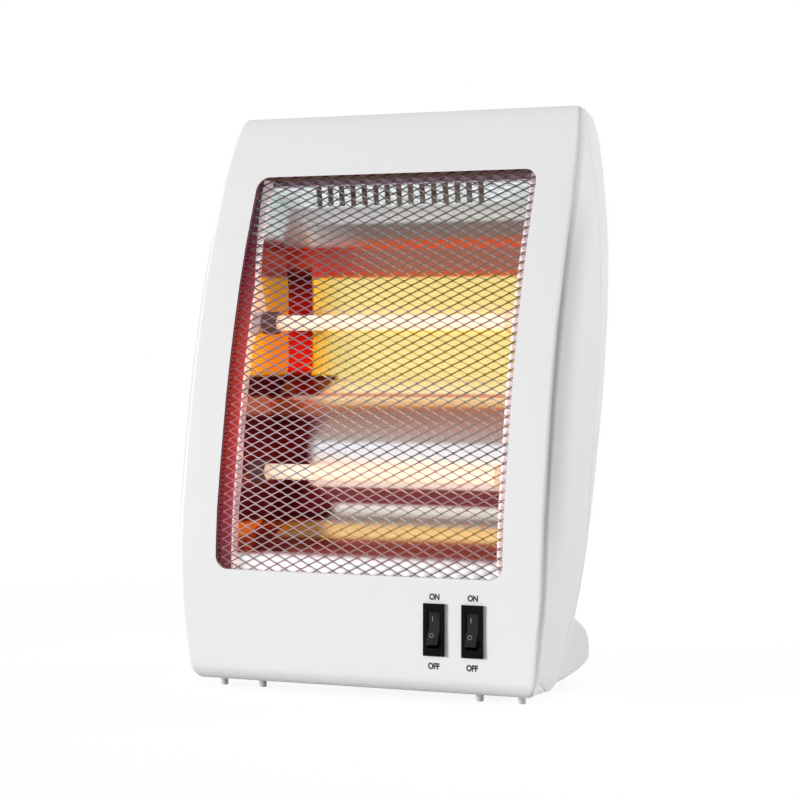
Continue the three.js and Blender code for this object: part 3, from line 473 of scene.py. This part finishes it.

# The guard's painted reflections, glow and shade: its rising strands, its falling ones painted
# lighter as if lit more, and both near the left end.
STRAND_RISING = [
    (66, "706A70"), (77, "746C70"), (79, "8C6C68"), (90, "8C6C68"), (92, "946C40"),
    (99, "94703C"), (101, "7C7874"), (109, "7C7874"), (111, "907070"), (119, "907070"),
    (121, "A88078"), (135, "A08078"), (138, "625E68"), (147, "625E68"), (152, "86746C"),
    (170, "8C7468"), (173, "8A7468"), (184, "8A7C70"), (187, "8C763C"), (213, "94783C"),
    (216, "A08078"), (225, "A08078"), (228, "8C763C"), (245, "8C763C"), (248, "987468"),
    (266, "96807C"), (278, "74767A"), (296, "707276"), (299, "7C6C78"), (312, "7C6C78"),
]
STRAND_FALLING = [
    (66, "948E94"), (77, "948E94"), (79, "A08080"), (90, "A08080"), (92, "C09858"),
    (99, "C4A058"), (101, "A4A098"), (109, "A4A098"), (111, "A08484"), (119, "A08484"),
    (121, "D0A898"), (135, "D0A898"), (138, "9094A0"), (147, "9094A0"), (152, "AC9890"),
    (170, "AC9488"), (184, "C0B0A0"), (187, "CCB060"), (213, "CCB060"), (216, "D8B0A8"),
    (225, "D8B0A8"), (228, "CCB060"), (245, "CCB060"), (248, "B09890"), (266, "A89C9C"),
    (278, "A0A4A6"), (296, "A0A4A6"), (299, "94848C"), (312, "94848C"),
]
STRAND_ENDS = [
    (66, "887478"), (100, "8C7474"), (118, "8C787C"), (160, "907C82"), (172, "907874"),
    (186, "907278"), (245, "906E76"), (262, "906E72"), (268, "8C8486"), (278, "7C7E82"),
    (296, "787A7E"), (299, "84707C"), (312, "84707C"),
]
STRAND_EDGE = [
    (66, "7C6068"), (100, "844C58"), (150, "905054"), (200, "945452"), (235, "84525C"),
    (262, "745660"), (312, "6C5C68"),
]
# Where the strands take their end colours: height and place across, in mm.
STRAND_LINES = [
    (66, -32), (92, -32), (94, -20), (98, -20), (100, -22), (118, -32), (146, -32), (160, -24),
    (174, -24), (185, -24), (187, -40), (245, -40), (247, -20), (262, -20), (270, -99),
    (312, -99),
]
STRAND_BLEND = 3
STRAND_EDGE_FADE = (-76 * MM, -80 * MM)
STRAND_DIM = 0.62
HOT_END = (-80 * MM, -68 * MM)


def evenly(stops, count):
    """The same table read at evenly spaced heights."""
    low, high = stops[0][0], stops[-1][0]
    heights = [low + (high - low) * i / count for i in range(count + 1)]
    return [(height, read_profile(stops, height)) for height in heights]


def reflector_metal():
    """Polished sheet painted with reflections, shade and tube glow: one set of colours in its
    middle and others towards its left end.
    """
    made = surface("reflector_metal", (0.84, 0.85, 0.86), 0.2, metallic=1.0, spread=0.02,
                   grain=90, bump=0.03, stretch=(1, 14, 14))
    tree = made.node_tree
    x = object_axes(tree)[0]
    line = height_length(tree, [(height, place) for height, place, _ in END_LINES])
    spread = height_length(tree, [(height, width) for height, _, width in END_LINES])
    ends = beyond(tree, x, calculated(tree, "ADD", line, spread),
                  calculated(tree, "SUBTRACT", line, spread))
    band = beyond(tree, x, (BAND_EDGE + BAND_BLEND) * MM, (BAND_EDGE - BAND_BLEND) * MM)
    middle, outer, left = (
        height_colors(tree, stops) for stops in (MIRROR_MIDDLE, MIRROR_ENDS, MIRROR_BAND))
    color = mixed(tree, band, mixed(tree, ends, middle, outer), left)
    return painted_tube_glow(made, color, glow=0.24)


def end_plate_metal():
    """Polished sheet painted with reflections, shade and tube glow: its inner side, a painted
    highlight strip along the front, and the bent flange.
    """
    made = surface("end_plate_metal", (0.8, 0.8, 0.8), 0.28, metallic=1.0, spread=0.02, grain=90,
                   bump=0.03, stretch=(14, 1, 14))
    tree = made.node_tree
    x, y, _ = object_axes(tree)
    outward = calculated(tree, "ABSOLUTE", x)
    rim = beyond(tree, outward, *RIM)
    bend = height_length(tree, BEND_LINES)
    flange = beyond(tree, outward, bend, calculated(tree, "ADD", bend, FLANGE_BLEND * MM))
    reaches = evenly(STRIP_DEEP, STRIP_STEPS)
    fronts = front_depths("end_plate_left", [height for height, _ in reaches])
    strip_ends = [(height, depth + reach) for (height, depth), (_, reach) in zip(fronts, reaches)]
    strip = below(tree, y, height_length(tree, strip_ends))
    inner = mixed(tree, strip, height_colors(tree, PLATE_SIDE), tone(PLATE_PAINTED_HIGHLIGHT))
    left = mixed(tree, flange, tone(PLATE_PAINTED_HIGHLIGHT), height_colors(tree, PLATE_FLANGE))
    outer = mixed(tree, above(tree, x, 0), left, tone(PLATE_RIGHT))
    return painted_tube_glow(made, mixed(tree, rim, inner, outer), glow=0.4)


def guard_wire(name, middle, roughness):
    """Polished wire painted with the reflected colours, glow and shade of the metal and tubes
    behind it.
    """
    made = surface(name, (0.26, 0.235, 0.24), roughness, metallic=1.0, spread=0.05, grain=500,
                   bump=0.05)
    tree = made.node_tree
    x = object_axes(tree)[0]
    line = height_length(tree, STRAND_LINES)
    left = beyond(tree, x, calculated(tree, "ADD", line, STRAND_BLEND * MM),
                  calculated(tree, "SUBTRACT", line, STRAND_BLEND * MM))
    edge = beyond(tree, x, *STRAND_EDGE_FADE)
    ends = mixed(tree, edge, height_colors(tree, STRAND_ENDS), height_colors(tree, STRAND_EDGE))
    color = mixed(tree, left, height_colors(tree, middle), ends)
    dim = add_node(tree, "ShaderNodeVectorMath", operation="SCALE", Scale=STRAND_DIM)
    tree.links.new(color, dim.inputs[0])
    tree.links.new(dim.outputs[0], shader_of(made).inputs["Base Color"])
    return made


def quartz():
    """Glowing glass, more orange at its left end."""
    made = surface("quartz_glass", (1.0, 0.92, 0.75), 0.08, spread=0.02, grain=60, bump=0.01)
    tree = made.node_tree
    along = beyond(tree, object_axes(tree)[0], *HOT_END)
    glow = mixed(tree, along, tone("FFB040"), tone("FFEBCB"))
    tree.links.new(glow, shader_of(made).inputs["Emission Color"])
    return set_shader(made, Emission_Strength=0.62, IOR=1.46)


def filament():
    made = surface("filament", (1.0, 0.7, 0.3), 0.4, spread=0.05, grain=400, bump=0.02)
    return set_shader(made, Emission_Color=(1.0, 0.62, 0.2, 1), Emission_Strength=3.0)


def ceramic():
    """Painted as lit by the tubes on the right of the heater and as in the dark on its left, with
    a little painted glow.
    """
    made = surface("ceramic", (0.3, 0.22, 0.2), 0.6, spread=0.06, grain=350, bump=0.12)
    tree = made.node_tree
    right = beyond(tree, object_axes(tree)[0], 0, MM)
    return painted_tube_glow(made, mixed(tree, right, tone("6A4A48"), tone("FFE6BC")), glow=0.25)


def cable(name, color):
    return surface(name, color, 0.5, spread=0.1, grain=300)


MATERIALS = {
    "white_plastic": white_plastic(),
    # The feet: the white plastic painted darker, as painted shade.
    "foot_shaded_plastic": surface("foot_shaded_plastic", (0.77, 0.765, 0.78), 0.55, spread=0.01, grain=900,
                            bump=0.02),
    "black_plastic": black_plastic("black_plastic", (0.004, 0.004, 0.0045), 0.04),
    "rocker_plastic": black_plastic("rocker_plastic", (0.009, 0.009, 0.01), 0.14),
    "reflector_metal": reflector_metal(),
    "end_plate_metal": end_plate_metal(),
    # Rising and falling strands are one wire in darker and lighter painted copies, as if lit
    # differently.
    "guard_wire": guard_wire("guard_wire", STRAND_RISING, 0.36),
    "guard_wire_falling_lit": guard_wire("guard_wire_falling_lit", STRAND_FALLING, 0.4),
    "quartz": quartz(),
    "filament": filament(),
    "rubber": surface("rubber", (0.03, 0.03, 0.032), 0.8, spread=0.15, grain=600, bump=0.1),
    "ceramic": ceramic(),
    "shield_metal": surface("shield_metal", (0.44, 0.31, 0.25), 0.5, metallic=0.6, spread=0.06,
                            grain=200, bump=0.05),
    "nylon": surface("nylon", (0.78, 0.75, 0.66), 0.5, spread=0.05, grain=300, bump=0.03),
    "grey_plastic": surface("grey_plastic", (0.78, 0.78, 0.8), 0.5, grain=500),
    "steel": surface("steel", (0.6, 0.61, 0.63), 0.35, metallic=1.0, spread=0.08, grain=260,
                     bump=0.05, stretch=(1, 1, 6)),
    "wire_brown": cable("wire_brown", (0.16, 0.07, 0.03)),
    "wire_red": cable("wire_red", (0.4, 0.02, 0.02)),
    "wire_grey": cable("wire_grey", (0.35, 0.35, 0.36)),
    "wire_blue": cable("wire_blue", (0.02, 0.08, 0.3)),
    "letter_ink": surface("letter_ink", (0.006, 0.006, 0.007), 0.5, spread=0.3, grain=800),
    "mark_ink": surface("mark_ink", (0.2, 0.205, 0.215), 0.5, spread=0.05, grain=800),
}
# The nodes whose material isn't the one of their slot.
NODE_MATERIALS = {
    "end_plate_left": "end_plate_metal", "end_plate_right": "end_plate_metal",
    "heat_shield": "shield_metal", "foot_left": "foot_shaded_plastic", "foot_right": "foot_shaded_plastic",
    "rocker_1": "rocker_plastic", "rocker_2": "rocker_plastic",
}


# ---- dressing the CAD ------------------------------------------------------
def smoothing_group():
    """Welds a faceted mesh and smooths it up to an edge angle, in a modifier of its own."""
    group = bpy.data.node_groups.new("smooth_by_angle", "GeometryNodeTree")
    for way in ("INPUT", "OUTPUT"):
        group.interface.new_socket("Geometry", in_out=way, socket_type="NodeSocketGeometry")
    source = group.nodes.new("NodeGroupInput")
    result = group.nodes.new("NodeGroupOutput")
    weld = group.nodes.new("GeometryNodeMergeByDistance")
    weld.inputs["Distance"].default_value = WELD_DISTANCE
    bare = group.nodes.new("GeometryNodeRemoveAttribute")
    bare.inputs["Name"].default_value = "custom_normal"
    angle = group.nodes.new("GeometryNodeInputMeshEdgeAngle")
    blunt = group.nodes.new("FunctionNodeCompare")
    blunt.operation = "LESS_EQUAL"
    blunt.inputs[1].default_value = SMOOTH_ANGLE
    faces = group.nodes.new("GeometryNodeSetShadeSmooth")
    edges = group.nodes.new("GeometryNodeSetShadeSmooth")
    edges.domain = "EDGE"
    link = group.links.new
    link(source.outputs[0], weld.inputs["Geometry"])
    link(weld.outputs["Geometry"], bare.inputs["Geometry"])
    link(bare.outputs["Geometry"], faces.inputs["Geometry"])
    link(faces.outputs["Geometry"], edges.inputs["Geometry"])
    link(angle.outputs["Unsigned Angle"], blunt.inputs[0])
    link(blunt.outputs["Result"], edges.inputs["Shade Smooth"])
    link(edges.outputs["Geometry"], result.inputs[0])
    return group


SMOOTHING = smoothing_group()


def smooth(piece):
    """Smooth shading in which the large flat faces keep their own normals."""
    modifier = piece.modifiers.new("smooth", "NODES")
    modifier.node_group = SMOOTHING
    weighted = piece.modifiers.new("weighted", "WEIGHTED_NORMAL")
    weighted.mode = "FACE_AREA_WITH_ANGLE"
    weighted.keep_sharp = True


def paint(piece, name):
    piece.data.materials.clear()
    piece.data.materials.append(MATERIALS[name])


def dress_cad():
    slots = {row["node"]: row["material_slot"] for row in frame["record"]["subparts"]}
    for name, node in nodes.items():
        paint(node, NODE_MATERIALS.get(name, slots[name]))
        smooth(node)


# ---- building pieces -------------------------------------------------------
def in_scene(name, data):
    """A new object in the scene."""
    made = bpy.data.objects.new(name, data)
    bpy.context.scene.collection.objects.link(made)
    return made


def mesh_piece(name, points, faces, material, body):
    mesh = bpy.data.meshes.new(name)
    mesh.from_pydata([tuple(p) for p in points], [], faces)
    mesh.update()
    piece = in_scene(name, mesh)
    paint(piece, material)
    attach(piece, body)
    return piece


class Bow:
    """The guard's front, seen from the side, as a line measured along its length."""

    def __init__(self):
        levels = front_profile("guard")
        low, high = levels[0][0], levels[-1][0]
        heights = [low + (high - low) * i / BOW_STEPS for i in range(BOW_STEPS + 1)]
        self.points = [Vector((read_profile(levels, z), z)) for z in heights]
        self.runs = [0.0]
        for a, b in zip(self.points, self.points[1:]):
            self.runs.append(self.runs[-1] + (b - a).length)
        self.length = self.runs[-1]

    def run_to(self, height):
        """The length of the line up to a height."""
        return next(run for p, run in zip(self.points, self.runs) if p.y >= height)

    def corners(self, run, xs):
        """Front and rear points of the sheet at a run along the line, for each place across."""
        run = min(max(run, 0.0), self.length)
        i = next(k for k in range(1, len(self.runs)) if self.runs[k] >= run)
        a, b = self.points[i - 1], self.points[i]
        y, z = a.lerp(b, (run - self.runs[i - 1]) / (self.runs[i] - self.runs[i - 1]))
        direction = (b - a).normalized()
        return [(x, y + depth * direction.y, z - depth * direction.x)
                for x in xs for depth in (0, STRAND_THICK)]


def guard_mesh():
    """Rows of zigzag strands along the guard's bow, joined at flat bonds, in a flat border."""
    bow = Bow()
    start, stop = bow.run_to(MESH_LOW), bow.run_to(MESH_HIGH)
    rows = round((stop - start) / MESH_TALL)
    columns = 2 * round(MESH_HALF / MESH_WIDE * 2)
    step_x = 2 * MESH_HALF / columns
    tall = (stop - start) / rows
    half = STRAND_WIDE / 2 / math.cos(math.atan(tall / 2 / step_x))
    points, faces, falling = [], [], []
    for row in range(rows):
        for upper in (False, True):
            base = len(points)
            bends = []
            for k in range(columns + 1):
                rise = half + (k % 2) * (tall / 2 - 2 * half)
                run = start + row * tall + (tall - rise if upper else rise)
                bends += [(-MESH_HALF + k * step_x + side * BOND_HALF, run) for side in (-1, 1)]
            for x, run in bends:
                for side in (-1, 1):
                    points += bow.corners(run + side * half, (x,))
            for k in range(len(bends) - 1):
                a = base + k * 4
                b = a + 4
                if bends[k + 1][1] < bends[k][1]:
                    falling += range(len(faces), len(faces) + 4)
                faces += [(a, b, b + 2, a + 2), (a + 1, a + 3, b + 3, b + 1)]
                faces += [(a, a + 1, b + 1, b), (a + 2, b + 2, b + 3, a + 3)]
            end = base + (len(bends) - 1) * 4
            faces += [(base, base + 2, base + 3, base + 1), (end, end + 1, end + 3, end + 2)]
    add_border(points, faces, bow, start, stop)
    piece = mesh_piece("guard_mesh", points, faces, "guard_wire", "heater")
    piece.data.materials.append(MATERIALS["guard_wire_falling_lit"])
    for index in falling:
        piece.data.polygons[index].material_index = 1
    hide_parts("guard")


def add_border(points, faces, bow, start, stop):
    """The flat rim that the mesh is cut from, hidden behind the window's edge."""
    low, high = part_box("guard")
    strips = [
        (low.x, -MESH_HALF, 0.0, bow.length), (MESH_HALF, high.x, 0.0, bow.length),
        (-MESH_HALF, MESH_HALF, 0.0, start), (-MESH_HALF, MESH_HALF, stop, bow.length),
    ]
    for left, right, first, last in strips:
        steps = max(2, int((last - first) / BORDER_STEP))
        base = len(points)
        for i in range(steps + 1):
            points += bow.corners(first + (last - first) * i / steps, (left, right))
        for i in range(steps):
            a = base + i * 4
            b = a + 4
            faces += [(a, a + 2, b + 2, b), (a + 1, b + 1, b + 3, a + 3)]
            faces += [(a, b, b + 1, a + 1), (a + 2, a + 3, b + 3, b + 2)]
        end = base + steps * 4
        faces += [(base, base + 1, base + 3, base + 2), (end, end + 2, end + 3, end + 1)]


def filament_coil(node):
    """A coiled wire in the place of a straight filament, with a straight lead at each end."""
    low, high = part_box(node)
    _, y, z = (low + high) / 2
    curve = bpy.data.curves.new(f"{node}_coil", "CURVE")
    curve.dimensions = "3D"
    curve.bevel_depth = COIL_WIRE
    curve.bevel_resolution = 1
    curve.use_fill_caps = True
    path = [(low.x, y, z), (-COIL_HALF - COIL_LEAD, y, z)]
    steps = COIL_TURNS * COIL_STEPS
    for i in range(steps + 1):
        turn = 2 * math.pi * i / COIL_STEPS
        x = -COIL_HALF + 2 * COIL_HALF * i / steps
        path.append((x, y + COIL_RADIUS * math.cos(turn), z + COIL_RADIUS * math.sin(turn)))
    path += [(COIL_HALF + COIL_LEAD, y, z), (high.x, y, z)]
    spline = curve.splines.new("POLY")
    spline.points.add(len(path) - 1)
    for point, place in zip(spline.points, path):
        point.co = (*place, 1)
    curve.materials.append(MATERIALS["filament"])
    piece = in_scene(f"{node}_coil", curve)
    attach(piece, "heater")
    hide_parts(node)


# ---- lettering -------------------------------------------------------------
# A place well in front of the object, to look for its surface from.
AHEAD = -200 * MM


def front_at(node, x, z):
    """The point of a node's front straight behind (x, z), its normal, and the turn to face it."""
    hit, place, normal, _ = nodes[node].ray_cast(Vector((x, AHEAD, z)), Vector((0, 1, 0)))
    if not hit:
        raise ValueError(f"{node} has nothing at {x}, {z}")
    return place, normal, normal.to_track_quat("Z", "Y")


def word(name, text, x, z):
    """A word printed on the front shell."""
    place, normal, turn = front_at("front_shell", x, z)
    curve = bpy.data.curves.new(name, "FONT")
    curve.body = text
    curve.align_x = "CENTER"
    curve.align_y = "CENTER"
    curve.size = LETTER_TALL / CAPITAL_SHARE
    curve.space_character = LETTER_SPACING
    curve.offset = LETTER_BOLD
    curve.extrude = LETTER_THICK / 2
    curve.materials.append(MATERIALS["letter_ink"])
    piece = in_scene(name, curve)
    piece.rotation_mode = "QUATERNION"
    piece.rotation_quaternion = turn
    piece.location = place + normal * (LETTER_THICK / 2)
    piece.scale = (LETTER_NARROW, 1, 1)
    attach(piece, "heater")


def bar_outline():
    wide, tall = BAR_HALF_WIDE, BAR_HALF_TALL
    return [(-wide, -tall), (wide, -tall), (wide, tall), (-wide, tall)], [(0, 1, 2, 3)]


def ring_outline():
    flat, faces = [], []
    for i in range(RING_SIDES):
        angle = 2 * math.pi * i / RING_SIDES
        flat += [(radius * math.cos(angle), radius * math.sin(angle)) for radius in RING_RADII]
        a, b = 2 * i, 2 * ((i + 1) % RING_SIDES)
        faces.append((a, a + 1, b + 1, b))
    return flat, faces


def rocker_marks(number, body):
    """A printed I on the upper half of a rocker and an O on its lower half."""
    node = f"rocker_{number}"
    low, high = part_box(node)
    x = (low.x + high.x) / 2 - MARK_SHIFT
    outlines = {"I": bar_outline(), "O": ring_outline()}
    for mark, level in MARK_LEVELS:
        place, _, turn = front_at(node, x, low.z + (high.z - low.z) * level)
        flat, faces = outlines[mark]
        points = [place + turn @ Vector((a, b, MARK_LIFT)) for a, b in flat]
        mesh_piece(f"{node}_mark_{mark}", points, faces, "mark_ink", body)


def switch_words(number):
    """ON above a switch and OFF below it."""
    low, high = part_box(f"switch_body_{number}")
    middle = (low.x + high.x) / 2
    word(f"on_{number}", "ON", middle, ON_HEIGHT)
    word(f"off_{number}", "OFF", middle + WORD_SHIFT, OFF_HEIGHT)


# ---- stage -----------------------------------------------------------------
def camera():
    data = bpy.data.cameras.new("camera")
    data.lens = CAMERA_LENS
    data.sensor_width = CAMERA_SENSOR
    data.clip_start = CAMERA_NEAR
    data.clip_end = CAMERA_FAR
    eye = in_scene("camera", data)
    eye.location = CAMERA_PLACE
    eye.rotation_euler = (CAMERA_TILT, 0, CAMERA_TURN)
    bpy.context.scene.camera = eye


def lamps():
    for name, place, target, size, power in LAMPS:
        data = bpy.data.lights.new(name, "AREA")
        data.shape = "RECTANGLE"
        data.size = data.size_y = size
        data.energy = power
        lamp = in_scene(name, data)
        lamp.location = place
        aim = Vector(target) - Vector(place)
        lamp.rotation_euler = aim.to_track_quat("-Z", "Y").to_euler()


def seen_directly(tree):
    """A value of 1 on rays from the camera and in reflections and glass, and 0 on the rest."""
    path = add_node(tree, "ShaderNodeLightPath")
    camera_ray, glossy, transmitted = (
        path.outputs[f"Is {kind} Ray"] for kind in ("Camera", "Glossy", "Transmission"))
    seen = calculated(tree, "MAXIMUM", camera_ray, glossy)
    return calculated(tree, "MAXIMUM", seen, transmitted)


def mix_shaders(tree, factor, first, second):
    mix = add_node(tree, "ShaderNodeMixShader")
    for socket, source in zip(mix.inputs, (factor, first, second)):
        tree.links.new(source, socket)
    return mix.outputs[0]


def world():
    """White where it is seen, and a soft light everywhere else."""
    made = bpy.data.worlds.new("studio")
    made.use_nodes = True
    tree = made.node_tree
    tree.nodes.clear()
    soft = add_node(tree, "ShaderNodeBackground", Color=WHITE, Strength=WORLD_SOFT)
    white = add_node(tree, "ShaderNodeBackground", Color=WHITE, Strength=1.0)
    output = add_node(tree, "ShaderNodeOutputWorld")
    both = mix_shaders(tree, seen_directly(tree), soft.outputs[0], white.outputs[0])
    tree.links.new(both, output.inputs["Surface"])
    bpy.context.scene.world = made


def floor_material():
    """White where it is seen, with the object's shadow near it, and matt to all other rays."""
    made = new_material("floor")
    tree = made.node_tree
    matt, lit = (add_node(tree, "ShaderNodeBsdfDiffuse", Color=(grey, grey, grey, 1))
                 for grey in (FLOOR_GREY, FLOOR_SHARE))
    glow = add_node(tree, "ShaderNodeEmission", Strength=1 - FLOOR_SHARE * FLOOR_LIT)
    near = add_node(tree, "ShaderNodeAddShader")
    far = add_node(tree, "ShaderNodeEmission", Strength=1.0)
    place = add_node(tree, "ShaderNodeTexCoord")
    reach = add_node(tree, "ShaderNodeVectorMath", operation="LENGTH")
    output = add_node(tree, "ShaderNodeOutputMaterial")
    link = tree.links.new
    link(place.outputs["Object"], reach.inputs[0])
    link(lit.outputs[0], near.inputs[0])
    link(glow.outputs[0], near.inputs[1])
    fade = beyond(tree, reach.outputs["Value"], SHADOW_NEAR, SHADOW_FAR)
    white = mix_shaders(tree, fade, near.outputs[0], far.outputs[0])
    link(mix_shaders(tree, seen_directly(tree), matt.outputs[0], white), output.inputs["Surface"])
    return made


def floor():
    bpy.ops.mesh.primitive_plane_add(size=FLOOR_SIZE, location=(0, 0, 0))
    plane = bpy.context.object
    plane.name = "floor"
    plane.data.materials.append(floor_material())


dress_cad()
guard_mesh()
filament_coil("filament_upper")
filament_coil("filament_lower")
for number, body in ((1, "rocker_one"), (2, "rocker_two")):
    rocker_marks(number, body)
    switch_words(number)
camera()
world()
floor()
lamps()
bpy.context.scene.view_settings.view_transform = "Standard"
